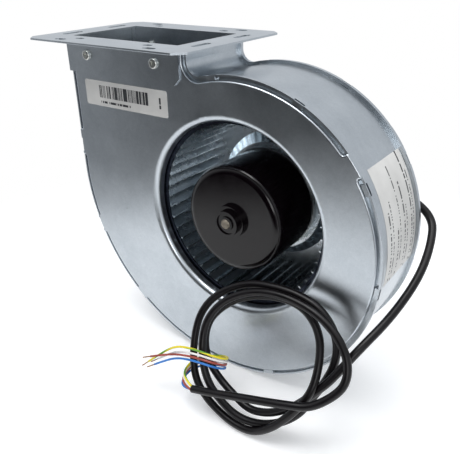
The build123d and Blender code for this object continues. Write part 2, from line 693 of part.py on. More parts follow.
with BuildPart() as stator_core:
    with BuildSketch(upright(STATOR_START)):
        Circle(STATOR_R)
        Circle(TUBE_R, mode=Mode.SUBTRACT)
        add(slot_pattern.sketch, mode=Mode.SUBTRACT)
    extrude(amount=-STATOR_LENGTH)
stator_core.part.label = "stator_core"
export_step(stator_core.part, "parts/stator_core.step")

with BuildPart() as slot_insulators:
    for start in (STATOR_START - INSULATOR, STATOR_END):
        with BuildSketch(upright(start)):
            Circle(COIL_OUT_R + INSULATOR)
            Circle(TUBE_R, mode=Mode.SUBTRACT)
            add(slot_pattern.sketch, mode=Mode.SUBTRACT)
        extrude(amount=-INSULATOR)
slot_insulators.part.label = "slot_insulators"
export_step(slot_insulators.part, "parts/slot_insulators.step")

with BuildPart() as windings:
    for start in (STATOR_START - INSULATOR - COIL_HEIGHT, STATOR_END + INSULATOR):
        with BuildSketch(upright(start)):
            Circle(COIL_OUT_R)
            Circle(SLOT_IN_R, mode=Mode.SUBTRACT)
        extrude(amount=-COIL_HEIGHT)
    with BuildSketch(upright(STATOR_START - INSULATOR)):
        add(bar_pattern.sketch)
    extrude(amount=-(STATOR_LENGTH + 2 * INSULATOR))
windings.part.label = "windings"
export_step(windings.part, "parts/windings.step")

with BuildPart() as motor_flange:
    with BuildSketch(TURNING):
        with BuildLine():
            Polyline(
                (BEARING_R, FRONT_BEARING - TUBE_NOSE),
                (TUBE_R, FRONT_BEARING - TUBE_NOSE),
                (TUBE_R, MOTOR_FACE),
                (FLANGE_R, MOTOR_FACE),
                (FLANGE_R, MOTOR_SEAT),
                (BEARING_R, MOTOR_SEAT),
                (BEARING_R, REAR_BEARING),
                (TUBE_BORE, REAR_BEARING),
                (TUBE_BORE, FRONT_BEARING + BEARING_WIDTH),
                (BEARING_R, FRONT_BEARING + BEARING_WIDTH),
                close=True,
            )
        make_face()
    revolve(axis=FAN_AXIS)
    with BuildSketch(upright(MOTOR_SEAT)):
        with PolarLocations(MOTOR_BOLT_R, MOTOR_BOLTS, start_angle=45):
            Circle(MOTOR_SCREW_R)
    extrude(amount=MOTOR_SCREW_DEPTH, mode=Mode.SUBTRACT)
motor_flange.part.label = "motor_flange"
export_step(motor_flange.part, "parts/motor_flange.step")

with BuildPart() as motor_screws:
    with BuildSketch(upright(FACE_Y)):
        with PolarLocations(MOTOR_BOLT_R, MOTOR_BOLTS, start_angle=45):
            Circle(MOTOR_SCREW_HEAD_R)
    extrude(amount=-MOTOR_SCREW_HEAD)
    with BuildSketch(upright(FACE_Y)):
        with PolarLocations(MOTOR_BOLT_R, MOTOR_BOLTS, start_angle=45):
            Circle(MOTOR_SCREW_R)
    extrude(amount=SHEET + MOTOR_SCREW_DEPTH)
    with BuildSketch(upright(FACE_Y + MOTOR_SCREW_HEAD)):
        with PolarLocations(MOTOR_BOLT_R, MOTOR_BOLTS, start_angle=45):
            RegularPolygon(DRIVE_R, 6)
    extrude(amount=DRIVE_DEPTH, mode=Mode.SUBTRACT)
motor_screws.part.label = "motor_screws"
export_step(motor_screws.part, "parts/motor_screws.step")

# ================================================================ terminal cap and cable exit
spout_end = CAP_R + CAP_SPOUT
SPOUT = Plane(origin=(FAN_X, CABLE_Y, FAN_Z), x_dir=(0, 1, 0), z_dir=(1, 0, 0))
with BuildPart() as terminal_cap:
    with BuildSketch(upright(FACE_Y)):
        Circle(CAP_R)
    extrude(amount=-CAP_HEIGHT)
    fillet(terminal_cap.faces().sort_by(Axis.Y)[-1].edges(), CAP_WALL)
    with BuildSketch(upright(FACE_Y)):
        SlotOverall(2 * (CAP_R + CAP_LUG), CAP_LUG, rotation=90)
        Circle(CAP_R - CAP_WALL, mode=Mode.SUBTRACT)
    extrude(amount=-CAP_LUG_HEIGHT)
    with BuildSketch(SPOUT.offset(CAP_R - 2 * CAP_WALL)):
        Circle(CAP_SPOUT_R)
    extrude(amount=CAP_SPOUT + 2 * CAP_WALL)
    with BuildSketch(upright(FACE_Y)):
        Circle(CAP_R - CAP_WALL)
    extrude(amount=-(CAP_HEIGHT - CAP_WALL), mode=Mode.SUBTRACT)
    with BuildSketch(SPOUT):
        Circle(GROMMET_R)
    extrude(amount=spout_end, mode=Mode.SUBTRACT)
    with BuildSketch(upright(FACE_Y)):
        with GridLocations(1, 2 * CAP_SCREW_LINE, 1, 2):
            Circle(CAP_SCREW_R)
    extrude(amount=-CAP_LUG_HEIGHT, mode=Mode.SUBTRACT)
terminal_cap.part.label = "terminal_cap"
export_step(terminal_cap.part, "parts/terminal_cap.step")

with BuildPart() as cap_screws:
    with BuildSketch(upright(FACE_Y + CAP_LUG_HEIGHT)):
        with GridLocations(1, 2 * CAP_SCREW_LINE, 1, 2):
            Circle(CAP_SCREW_HEAD_R)
    extrude(amount=-CAP_SCREW_HEAD)
    with BuildSketch(upright(FACE_Y + CAP_LUG_HEIGHT)):
        with GridLocations(1, 2 * CAP_SCREW_LINE, 1, 2):
            Circle(CAP_SCREW_R)
    extrude(amount=CAP_LUG_HEIGHT + SHEET)
cap_screws.part.label = "cap_screws"
export_step(cap_screws.part, "parts/cap_screws.step")

with BuildPart() as cable_grommet:
    with BuildSketch(SPOUT.offset(CAP_R - 2 * CAP_WALL)):
        Circle(GROMMET_R)
    extrude(amount=CAP_SPOUT + 2 * CAP_WALL)
    with BuildSketch(SPOUT.offset(spout_end)):
        Circle(GROMMET_LIP_R)
    extrude(amount=GROMMET_LIP)
    fillet(cable_grommet.faces().sort_by(Axis.X)[-1].edges(), GROMMET_LIP / 2)
    with BuildSketch(SPOUT):
        Circle(CABLE_R)
    extrude(amount=spout_end + GROMMET_LIP, mode=Mode.SUBTRACT)
cable_grommet.part.label = "cable_grommet"
export_step(cable_grommet.part, "parts/cable_grommet.step")

with BuildPart() as cable_saddle:
    with BuildSketch(SADDLE.offset(-SADDLE_LENGTH / 2)):
        Circle(CABLE_R + SADDLE_WALL)
        with Locations((-CABLE_BACK / 2, 0)):
            Rectangle(CABLE_BACK, 2 * (CABLE_R + SADDLE_WALL))
        with Locations((SADDLE_FOOT_HEIGHT / 2 - CABLE_BACK, (CABLE_R + SADDLE_WALL + SADDLE_FOOT) / 2)):
            Rectangle(SADDLE_FOOT_HEIGHT, CABLE_R + SADDLE_WALL + SADDLE_FOOT)
        Circle(CABLE_R, mode=Mode.SUBTRACT)
    extrude(amount=SADDLE_LENGTH)
    with BuildSketch(upright(FACE_Y)):
        with Locations(saddle_screw_at):
            Circle(CAP_SCREW_R)
    extrude(amount=-SADDLE_FOOT_HEIGHT, mode=Mode.SUBTRACT)
cable_saddle.part.label = "cable_saddle"
export_step(cable_saddle.part, "parts/cable_saddle.step")

with BuildPart() as saddle_screw:
    with BuildSketch(upright(FACE_Y + SADDLE_FOOT_HEIGHT)):
        with Locations(saddle_screw_at):
            Circle(CAP_SCREW_HEAD_R)
    extrude(amount=-CAP_SCREW_HEAD)
    with BuildSketch(upright(FACE_Y + SADDLE_FOOT_HEIGHT)):
        with Locations(saddle_screw_at):
            Circle(CAP_SCREW_R)
    extrude(amount=SADDLE_FOOT_HEIGHT + SHEET)
saddle_screw.part.label = "saddle_screw"
export_step(saddle_screw.part, "parts/saddle_screw.step")

# ================================================================ labels
with BuildPart() as barcode_label:
    with BuildSketch(upright(-FACE_Y)):
        with Locations((BARCODE_X, BARCODE_Z)):
            RectangleRounded(BARCODE_W, BARCODE_H, LABEL_CORNER)
    extrude(amount=LABEL_SHEET)
barcode_label.part.label = "barcode_label"
export_step(barcode_label.part, "parts/barcode_label.step")

with BuildPart() as rating_label:
    with BuildSketch(upright(RATING_Y - RATING_WIDTH / 2)):
        add(rim_pieces(RIM_OVERHANG - LABEL_SHEET, RIM_OVERHANG, [(RATING_START, RATING_END)]))
    extrude(amount=-RATING_WIDTH)
rating_label.part.label = "rating_label"
export_step(rating_label.part, "parts/rating_label.step")

# ================================================================ cable
cable_radii = bend_radii(ROUTE)
print("cable bend radii:", [round(radius, 1) for radius in cable_radii])
with BuildPart() as cable_tube:
    with BuildLine() as cable_line:
        FilletPolyline(*ROUTE, radius=cable_radii)
    with BuildSketch(Plane(cable_line.line @ 0, z_dir=cable_line.line % 0)):
        Circle(CABLE_R)
    sweep()
cable_length = sum(edge.length for edge in cable_line.edges())
print("cable tube length:", round(cable_length, 1))
print("volume over section x length:", round(cable_tube.part.volume / (pi * CABLE_R ** 2 * cable_length), 4))
cable_tube.part.label = "cable_tube"
export_step(cable_tube.part, "parts/cable_tube.step")

with BuildPart() as cable_coil:
    with BuildSketch(LEANING.offset(COIL_BACK)):
        with Locations(COIL_OUTER_AT):
            Ellipse(*COIL_OUTER)
        with Locations(COIL_HOLE_AT):
            Ellipse(*COIL_HOLE, mode=Mode.SUBTRACT)
    extrude(amount=COIL_FRONT - COIL_BACK)
    fillet(cable_coil.edges(), COIL_EDGE_R)
    split(bisect_by=Plane.XY.offset(FLOOR_Z), keep=Keep.TOP)
cable_coil.part.label = "cable_coil"
export_step(cable_coil.part, "parts/cable_coil.step")

tip_lines = []
for index, (core_name, (shift, own_way)) in enumerate(CORES.items()):
    side_v = CORE_PACK * (1 if index < 2 else -1)
    side_w = CORE_PACK * (-1 if index % 2 else 1)
    start = CORE_LOOP[0]
    way = [(start[0], start[1] + side_v, start[2] + side_w)]
    way += [(right, up + shift, out) for right, up, out in CORE_LOOP[1:]]
    way += own_way
    way = [LEANING.from_local_coords(point) for point in way]
    way = [(point.X, point.Y, point.Z) for point in way]
    core_radii = bend_radii(way)
    print(core_name, "bend radii:", [round(radius, 1) for radius in core_radii])
    with BuildPart() as core:
        with BuildLine() as core_line:
            FilletPolyline(*way, radius=core_radii)
        with BuildSketch(Plane(core_line.line @ 0, z_dir=core_line.line % 0)):
            Circle(CORE_R)
        sweep()
    tip_lines.append(Plane(core_line.line @ 1, z_dir=core_line.line % 1))
    core.part.label = core_name
    export_step(core.part, f"parts/{core_name}.step")

with BuildPart() as core_tips:
    for tip_line in tip_lines:
        with BuildSketch(tip_line):
            Circle(TIP_R)
        extrude(amount=TIP_LENGTH)
core_tips.part.label = "core_tips"
export_step(core_tips.part, "parts/core_tips.step")
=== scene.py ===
from math import cos, pi, radians, sin
import json
import bpy
import numpy as np
from mathutils import Matrix, Vector


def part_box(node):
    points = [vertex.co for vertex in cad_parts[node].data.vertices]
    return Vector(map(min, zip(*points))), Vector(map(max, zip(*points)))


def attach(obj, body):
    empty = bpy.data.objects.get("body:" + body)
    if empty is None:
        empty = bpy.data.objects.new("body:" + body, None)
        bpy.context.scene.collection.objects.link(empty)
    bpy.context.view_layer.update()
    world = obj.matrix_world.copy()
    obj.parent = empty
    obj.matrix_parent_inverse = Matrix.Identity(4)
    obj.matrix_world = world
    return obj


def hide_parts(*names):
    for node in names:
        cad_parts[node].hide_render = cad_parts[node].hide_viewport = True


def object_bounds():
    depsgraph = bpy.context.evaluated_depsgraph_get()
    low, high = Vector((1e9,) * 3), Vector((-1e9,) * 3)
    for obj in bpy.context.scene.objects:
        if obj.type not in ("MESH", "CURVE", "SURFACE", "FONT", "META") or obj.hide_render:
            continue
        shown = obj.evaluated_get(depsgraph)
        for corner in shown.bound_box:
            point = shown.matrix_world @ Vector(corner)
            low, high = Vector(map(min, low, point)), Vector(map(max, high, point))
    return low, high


# Galvanised scroll blower with a black external-rotor motor, an outlet flange and a coiled cable.
# Metres, in the CAD frame: +Z up, the fan axis along Y, the intake on -Y.

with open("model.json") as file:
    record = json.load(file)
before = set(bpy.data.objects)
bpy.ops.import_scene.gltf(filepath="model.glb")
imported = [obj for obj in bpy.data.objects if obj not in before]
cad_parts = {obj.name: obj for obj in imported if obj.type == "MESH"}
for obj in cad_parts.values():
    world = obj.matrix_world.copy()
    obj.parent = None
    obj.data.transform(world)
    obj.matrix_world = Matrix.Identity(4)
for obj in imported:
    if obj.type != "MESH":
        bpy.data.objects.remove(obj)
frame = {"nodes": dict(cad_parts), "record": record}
cad_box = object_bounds()
nodes = frame["nodes"]

MM = 0.001
UP = (0.0, 0.0, 1.0)
FAN = Vector((0.1005, 0.0, -0.124))       # middle of the fan axis
FLOOR_Z = cad_box[0].z

# ---------------------------------------------------------------- camera
# Looks down on the intake side from the right, with the outlet flange at the upper left.
camera_data = bpy.data.cameras.new("camera")
camera_data.lens = 43.39
camera_data.sensor_width = 36.0
camera_data.dof.use_dof = False
camera = bpy.data.objects.new("camera", camera_data)
camera_right = Vector((0.8073, 0.5898, -0.0170))
camera_up = Vector((-0.2493, 0.3672, 0.8961))
camera_back = Vector((0.5348, -0.7192, 0.4435))
camera.matrix_world = Matrix.Translation((0.3250, -0.3400, 0.0577)) @ Matrix(
    (camera_right, camera_up, camera_back)).transposed().to_4x4()
bpy.context.scene.collection.objects.link(camera)
bpy.context.scene.camera = camera
bpy.context.scene.view_settings.view_transform = "Standard"


# ---------------------------------------------------------------- surfaces
def swept_surface(path, radii, sides):
    """Closed tube surface. At each point of the path a ring of radius r stands square to the
    path: point + r (cos a * across + sin a * over), with a from 0 to a full turn. The across
    direction is carried along the path by taking away its part along each new tangent, so the
    tube doesn't twist. Both ends are closed by a flat fan of triangles about the path's end
    points. Returns the mesh data, with a UV map of turn fraction and length in metres."""
    path = np.asarray(path, float)
    radii = np.broadcast_to(np.asarray(radii, float), (len(path),))
    steps = np.diff(path, axis=0)
    run = np.concatenate([[0.0], np.cumsum(np.linalg.norm(steps, axis=1))])
    tangents = np.gradient(path, run, axis=0)
    tangents /= np.linalg.norm(tangents, axis=1)[:, None]
    across = np.empty_like(path)
    nearly_upright = 0.1
    carried = np.cross(tangents[0], UP)
    if np.linalg.norm(carried) < nearly_upright:
        carried = np.cross(tangents[0], (0.0, 1.0, 0.0))
    for i, tangent in enumerate(tangents):
        carried = carried - tangent * carried.dot(tangent)
        carried = carried / np.linalg.norm(carried)
        across[i] = carried
    over = np.cross(tangents, across)
    turn = np.linspace(0.0, 2 * pi, sides, endpoint=False)
    rings = (path[:, None, :] + radii[:, None, None] * (
        np.cos(turn)[None, :, None] * across[:, None, :]
        + np.sin(turn)[None, :, None] * over[:, None, :]))
    points = np.concatenate([rings.reshape(-1, 3), path[:1], path[-1:]])
    row = np.arange(len(path) - 1)[:, None] * sides
    here, after = np.arange(sides)[None, :], (np.arange(sides)[None, :] + 1) % sides
    quads = np.stack([row + here, row + after, row + sides + after, row + sides + here], -1)
    quads = quads.reshape(-1, 4).tolist()
    start, end = len(path) * sides, len(path) * sides + 1
    last = (len(path) - 1) * sides
    here, after = here[0], after[0]
    first_fan = np.stack([np.full(sides, start), after, here], -1).tolist()
    last_fan = np.stack([np.full(sides, end), last + here, last + after], -1).tolist()
    mesh = bpy.data.meshes.new("swept")
    mesh.from_pydata(points.tolist(), [], quads + first_fan + last_fan)
    mesh.polygons.foreach_set("use_smooth", [True] * len(quads) + [False] * (2 * sides))
    u_side = np.stack([here, here + 1, here + 1, here], -1) / sides
    u_all = np.broadcast_to(u_side[None], (len(path) - 1, sides, 4))
    v_low, v_high = run[:-1, None, None], run[1:, None, None]
    ends = np.array([0.0, 0.0, 1.0, 1.0])
    v_all = np.broadcast_to(v_low * (1 - ends) + v_high * ends, (len(path) - 1, sides, 4))
    fan = np.zeros((2, sides, 3, 2))
    fan[1, :, :, 1] = run[-1]
    uv = np.concatenate([np.stack([u_all, v_all], -1).reshape(-1, 2), fan.reshape(-1, 2)])
    mesh.uv_layers.new(name="UVMap").data.foreach_set("uv", uv.astype(np.float32).ravel())
    mesh.validate()
    mesh.update()
    return mesh


def piece(name, data, body, slot, *materials):
    """Links a finished piece, gives it its materials and lets it ride on a body."""
    made = bpy.data.objects.new(name, data)
    bpy.context.scene.collection.objects.link(made)
    for material in materials:
        data.materials.append(material)
    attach(made, body)
    return made


def smooth_route(name, points, radius):
    """Quadratic NURBS line through the neighbourhood of its control points, given in metres."""
    curve = bpy.data.curves.new(name, "CURVE")
    curve.dimensions = "3D"
    spline = curve.splines.new("NURBS")
    spline.points.add(len(points) - 1)
    spline.points.foreach_set("co", [c for p in points for c in (*p, 1.0)])
    spline.order_u = 3
    spline.use_endpoint_u = True
    spline.resolution_u = 8
    curve.bevel_depth = radius
    curve.bevel_resolution = 4
    curve.use_fill_caps = True
    return curve


def line_of(curve):
    """Points along a route's smooth line, in order."""
    bare = curve.copy()
    bare.bevel_depth = 0.0
    carrier = bpy.data.objects.new("line", bare)
    mesh = bpy.data.meshes.new_from_object(carrier)
    line = np.empty(len(mesh.vertices) * 3)
    mesh.vertices.foreach_get("co", line)
    bpy.data.objects.remove(carrier)
    bpy.data.meshes.remove(mesh)
    bpy.data.curves.remove(bare)
    return line.reshape(-1, 3)


# ---------------------------------------------------------------- materials
def colour(code):
    """sRGB hex to linear RGBA."""
    coded = [int(code[i:i + 2], 16) / 255 for i in (1, 3, 5)]
    linear = [c / 12.92 if c <= 0.04045 else ((c + 0.055) / 1.055) ** 2.4 for c in coded]
    return (*linear, 1.0)


def node(tree, kind, links=(), **settings):
    """Adds a node. Settings are its own attributes, or input values where the key is in_name or
    in_number; links are pairs of input and the output that feeds it."""
    made = tree.nodes.new(kind)
    for key, value in settings.items():
        if key.startswith("in_"):
            key = key[3:]
            made.inputs[int(key) if key.isdigit() else key.replace("_", " ")].default_value = value
        else:
            setattr(made, key, value)
    for target, source in links:
        tree.links.new(made.inputs[target], source)
    return made


def finish_of(name, **settings):
    """New material with one Principled shader. Returns material, its tree, its shader and the
    object coordinates."""
    material = bpy.data.materials.new(name)
    material.use_nodes = True
    tree = material.node_tree
    shader = tree.nodes["Principled BSDF"]
    for key, value in settings.items():
        shader.inputs[key.replace("_", " ")].default_value = value
    place = node(tree, "ShaderNodeTexCoord").outputs["Object"]
    return material, tree, shader, place


def ramp(tree, source, *stops):
    """Colour ramp with stops of (position, hex colour)."""
    made = node(tree, "ShaderNodeValToRGB", [("Fac", source)])
    elements = made.color_ramp.elements
    while len(elements) < len(stops):
        elements.new(1.0)
    for element, (position, code) in zip(elements, stops):
        element.position = position
        element.color = colour(code)
    return made.outputs["Color"]


def remap(tree, value, low, high, new_low=0.0, new_high=1.0, **settings):
    """Stretches the range low to high onto new_low to new_high, held at the ends."""
    return node(tree, "ShaderNodeMapRange", [("Value", value)], in_1=low, in_2=high,
                in_3=new_low, in_4=new_high, **settings).outputs[0]


# Sockets of a Mix node that stand for colours: both inputs and the output.
COLOUR_A, COLOUR_B, COLOUR_MIXED = 6, 7, 2


def per_mm(size):
    """Texture scale of a pattern whose features are size millimetres across."""
    return 1 / (size * MM)


def grain_bump(tree, shader, place, size, strength, depth):
    """Gives the surface a grain: noise of this size and depth, both in millimetres."""
    grain = node(tree, "ShaderNodeTexNoise", [("Vector", place)], in_Scale=per_mm(size),
                 in_Detail=2.0)
    bump = node(tree, "ShaderNodeBump", [("Height", grain.outputs["Fac"])],
                in_Strength=strength, in_Distance=depth * MM)
    tree.links.new(shader.inputs["Normal"], bump.outputs[0])


def galvanised(name, dark, light, low, high):
    """Hot-dip galvanised sheet steel, skin-passed: zinc spangle of a few millimetres pressed flat,
    so the crystals show as faint patches of different gloss under a fine satin grain."""
    material, tree, shader, place = finish_of(name, Metallic=1.0, Roughness=0.4)
    spangle = node(tree, "ShaderNodeTexVoronoi", [("Vector", place)], in_Scale=per_mm(2.5),
                   in_Randomness=1.0)
    crystal = node(tree, "ShaderNodeSeparateColor", [("Color", spangle.outputs["Color"])])
    cloud = node(tree, "ShaderNodeTexNoise", [("Vector", place)], in_Scale=per_mm(38.0),
                 in_Detail=4.0, in_Roughness=0.55)
    grain = node(tree, "ShaderNodeTexNoise", [("Vector", place)], in_Scale=per_mm(0.9),
                 in_Detail=3.0, in_Roughness=0.7)
    mixed = node(tree, "ShaderNodeMath", [(0, crystal.outputs["Red"]), (2, cloud.outputs["Fac"])],
                 operation="MULTIPLY_ADD", in_1=0.12)
    grainy = node(tree, "ShaderNodeMath", [(0, grain.outputs["Fac"]), (2, mixed.outputs[0])],
                  operation="MULTIPLY_ADD", in_1=0.6)
    tone = remap(tree, grainy.outputs[0], 0.55, 1.2)
    tree.links.new(shader.inputs["Base Color"], ramp(tree, tone, (0.0, dark), (1.0, light)))
    gloss = remap(tree, mixed.outputs[0], 0.3, 0.85, low, high)
    tree.links.new(shader.inputs["Roughness"], gloss)
    edge = node(tree, "ShaderNodeBump", [("Height", crystal.outputs["Green"])],
                in_Strength=0.04, in_Distance=0.2 * MM)
    fine = node(tree, "ShaderNodeBump",
                [("Height", grain.outputs["Fac"]), ("Normal", edge.outputs[0])],
                in_Strength=0.12, in_Distance=0.15 * MM)
    tree.links.new(shader.inputs["Normal"], fine.outputs[0])
    return material


def plated(name, dark, light, roughness, scratch):
    """Bright metal with a fine turned or drawn grain: colour wanders between two tones over a few
    millimetres, and a short-scale bump breaks up its reflections."""
    material, tree, shader, place = finish_of(name, Metallic=1.0, Roughness=roughness)
    wear = node(tree, "ShaderNodeTexNoise", [("Vector", place)], in_Scale=per_mm(3.0),
                in_Detail=4.0)
    tree.links.new(shader.inputs["Base Color"],
                   ramp(tree, wear.outputs["Fac"], (0.3, dark), (0.7, light)))
    grain_bump(tree, shader, place, 0.4, scratch, 0.1)
    return material


def moulded(name, dark, light, roughness, texture_mm, strength, **settings):
    """Plastic, rubber or paint skin: nearly one colour, clouded slightly over centimetres, with
    the grain of its mould or of its spray in the bump."""
    material, tree, shader, place = finish_of(name, Roughness=roughness, **settings)
    cloud = node(tree, "ShaderNodeTexNoise", [("Vector", place)], in_Scale=per_mm(14.0),
                 in_Detail=3.0)
    tree.links.new(shader.inputs["Base Color"],
                   ramp(tree, cloud.outputs["Fac"], (0.35, dark), (0.65, light)))
    sheen = remap(tree, cloud.outputs["Fac"], 0.3, 0.7, roughness - 0.04, roughness + 0.05)
    tree.links.new(shader.inputs["Roughness"], sheen)
    grain_bump(tree, shader, place, texture_mm, strength, 0.1)
    return material


# Hot-dip galvanised sheet of the housing: bluish grey, satin, with flattened spangle.
housing_zinc = galvanised("galvanised_housing", "#abb2b8", "#c6ccd1", 0.27, 0.34)
# Galvanised strip of the impeller, thinner and shinier than the housing; its base colour is also
# painted lighter, a painted highlight for the bright blades.
lightened_impeller_zinc = galvanised("galvanised_impeller_painted_light", "#cdd6dc", "#e4ebf0", 0.24, 0.3)
# Front ring of the impeller: painted shade, blue-black and satin, standing for the ring lying in
# shadow inside the throat.
shaded_ring_finish = plated("ring_painted_shade", "#23262f", "#343843", 0.35, 0.05)
# Zinc-plated steel screws: bright, slightly yellowish grey.
zinc_screw = plated("zinc_plated_screw", "#a8a8a2", "#cfd0cc", 0.28, 0.1)
# Ground and hardened bearing steel: near mirror.
bearing_steel = plated("ground_bearing_steel", "#b9babc", "#d4d5d7", 0.15, 0.03)
# Drawn carbon steel shaft and spring steel clip: duller and browner, oiled.
shaft_steel = plated("drawn_shaft_steel", "#5c574f", "#857e73", 0.32, 0.12)
# Pressure-cast aluminium: pale, matt, with a fine sandy skin.
cast_aluminium = plated("cast_aluminium", "#a3a6a8", "#bfc2c4", 0.5, 0.4)
# Punched silicon-steel laminations, varnished: dark grey edges.
lamination = plated("varnished_laminations", "#55565a", "#77787b", 0.45, 0.2)
# Enamelled copper wire: reddish, glossy.
copper = plated("enamelled_copper", "#8c4a2a", "#c4713f", 0.3, 0.3)
# Cathodic dip paint on the rotor: almost black, glossy, very smooth.
rotor_coat = moulded("black_dip_paint", "#070406", "#0b070a", 0.14, 0.8, 0.01,
                     Specular_IOR_Level=0.3)
# Glass-filled nylon mouldings: black, matt, with a fine spark-eroded texture.
black_nylon = moulded("black_nylon", "#161617", "#1f1f20", 0.5, 0.5, 0.15)
# Moulded rubber grommet: black, dull.
grommet_rubber = moulded("black_rubber", "#121213", "#1a1a1b", 0.65, 0.7, 0.2)
# Glass-filled polyester slot liners: cream, matt.
slot_liner = moulded("cream_slot_liner", "#cfc6ad", "#ddd6c0", 0.55, 0.6, 0.2)
# Extruded PVC sheath: black, satin, slightly drawn skin.
sheath_pvc = moulded("black_pvc_sheath", "#080608", "#0e0b0e", 0.32, 1.2, 0.05,
                     Specular_IOR_Level=0.3)
# Extruded PVC core insulation: solid colours, glossy.
white_pvc = moulded("white_pvc_core", "#d9d4d6", "#eceaea", 0.3, 0.8, 0.03)
red_pvc = moulded("red_pvc_core", "#8a3a30", "#a34a3c", 0.3, 0.8, 0.03)
blue_pvc = moulded("blue_pvc_core", "#1c63b0", "#2b78c8", 0.3, 0.8, 0.03)


def striped_pvc():
    """Green and yellow PVC core: two colours run side by side along the wire, with a slow twist,
    drawn from the turn fraction and length of the tube's own UV map."""
    material, tree, shader, place = finish_of("green_yellow_pvc_core", Roughness=0.3)
    sheet = node(tree, "ShaderNodeUVMap", uv_map="UVMap").outputs["UV"]
    split = node(tree, "ShaderNodeSeparateXYZ", [("Vector", sheet)])
    turns_per_metre = 28.0
    twist = node(tree, "ShaderNodeMath", [(0, split.outputs["Y"]), (2, split.outputs["X"])],
                 operation="MULTIPLY_ADD", in_1=turns_per_metre)
    turn = node(tree, "ShaderNodeMath", [(0, twist.outputs[0])], operation="FRACT")
    stripe = remap(tree, turn.outputs[0], 0.34, 0.37)
    tree.links.new(shader.inputs["Base Color"],
                   ramp(tree, stripe, (0.0, "#5f9a2c"), (1.0, "#e3d21e")))
    grain_bump(tree, shader, place, 0.8, 0.03, 0.1)
    return material


def printed_paper(name, row_axis, along_axis, printed):
    """Coated label paper, off-white and a little glossy, with thermal print. printed gets the
    tree and the two coordinates in millimetres and returns the amount of ink."""
    material, tree, shader, place = finish_of(name, Roughness=0.42)
    split = node(tree, "ShaderNodeSeparateXYZ", [("Vector", place)])
    row = node(tree, "ShaderNodeMath", [(0, split.outputs[row_axis])], operation="MULTIPLY",
               in_1=1 / MM)
    along = node(tree, "ShaderNodeMath", [(0, split.outputs[along_axis])], operation="MULTIPLY",
                 in_1=1 / MM)
    cloud = node(tree, "ShaderNodeTexNoise", [("Vector", place)], in_Scale=per_mm(20.0),
                 in_Detail=4.0)
    paper = ramp(tree, cloud.outputs["Fac"], (0.3, "#c4c3c0"), (0.7, "#d2d1ce"))
    ink = printed(tree, row.outputs[0], along.outputs[0])
    inked = node(tree, "ShaderNodeMix", [("Factor", ink), (COLOUR_A, paper)], data_type="RGBA")
    inked.inputs[COLOUR_B].default_value = colour("#26272b")
    tree.links.new(shader.inputs["Base Color"], inked.outputs[COLOUR_MIXED])
    grain_bump(tree, shader, place, 0.5, 0.05, 0.05)
    return material


def all_of(tree, *factors):
    """Product of all the factors."""
    product = factors[0]
    for factor in factors[1:]:
        product = node(tree, "ShaderNodeMath", [(0, product), (1, factor)],
                       operation="MULTIPLY").outputs[0]
    return product


def any_of(tree, *factors):
    """The largest of all the factors."""
    most = factors[0]
    for factor in factors[1:]:
        most = node(tree, "ShaderNodeMath", [(0, most), (1, factor)],
                    operation="MAXIMUM").outputs[0]
    return most


def within(tree, value, low, high):
    """One where value lies between low and high, else nought."""
    above = node(tree, "ShaderNodeMath", [(0, value)], operation="GREATER_THAN", in_1=low)
    below = node(tree, "ShaderNodeMath", [(0, value)], operation="LESS_THAN", in_1=high)
    return all_of(tree, above.outputs[0], below.outputs[0])


def columns(tree, value, width, share):
    """Random columns of one width, of which this share is one and the rest nought."""
    step = node(tree, "ShaderNodeMath", [(0, value)], operation="DIVIDE", in_1=width)
    whole = node(tree, "ShaderNodeMath", [(0, step.outputs[0])], operation="FLOOR")
    chance = node(tree, "ShaderNodeTexWhiteNoise", [("W", whole.outputs[0])],
                  noise_dimensions="1D")
    return node(tree, "ShaderNodeMath", [(0, chance.outputs["Value"])],
                operation="LESS_THAN", in_1=share).outputs[0]


def print_row(tree, along, along_range, rise, rise_range, dash, share):
    """A row of plain dashes of one width, of which this share is inked. It runs along one
    coordinate and is as high as the range of the other. All in millimetres."""
    return all_of(tree, within(tree, along, *along_range), within(tree, rise, *rise_range),
                  columns(tree, along, dash, share))


def bar_print(tree, up, right):
    """A field of plain bars with a row of plain dashes under it and a short one at the right."""
    low, high = (Vector(v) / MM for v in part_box("barcode_label"))
    bars = print_row(tree, right, (low.x + 16.0, low.x + 71.0), up, (low.z + 7.0, high.z - 3.5),
                     0.55, 0.6)
    dashes = print_row(tree, right, (low.x + 17.0, low.x + 51.0), up,
                       (low.z + 2.6, low.z + 4.4), 0.7, 0.7)
    side = print_row(tree, up, (low.z + 5.5, low.z + 15.0), right,
                     (high.x - 8.5, high.x - 6.7), 0.7, 0.7)
    return any_of(tree, bars, dashes, side)


# Rows on the rotor's label: distance from its intake edge, height of the print, width of a dash,
# and between which heights of the frame the row runs, in millimetres.
PRINT_ROWS = [
    (6.0, 1.8, 1.1, -150, -97), (10.6, 1.3, 0.9, -150, -90), (18.5, 1.8, 1.1, -150, -112),
    (23.2, 1.3, 0.9, -138, -72), (31.0, 1.8, 1.1, -146, -84), (35.6, 1.3, 0.9, -150, -100),
    (44.0, 1.8, 1.1, -150, -66), (48.0, 1.3, 0.9, -150, -80),
]
INKED_SHARE = 0.74


def line_print(tree, across, around):
    """Rows of plain dashes of uneven length, standing for lines of small print."""
    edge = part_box("rating_label")[0].y / MM
    return any_of(tree, *(
        print_row(tree, around, (bottom, top), across, (edge + start, edge + start + height),
                  dash, INKED_SHARE)
        for start, height, dash, bottom, top in PRINT_ROWS))


core_stripes = striped_pvc()
barcode_paper = printed_paper("barcode_label_paper", "Z", "X", bar_print)
rating_paper = printed_paper("rating_label_paper", "Y", "Z", line_print)

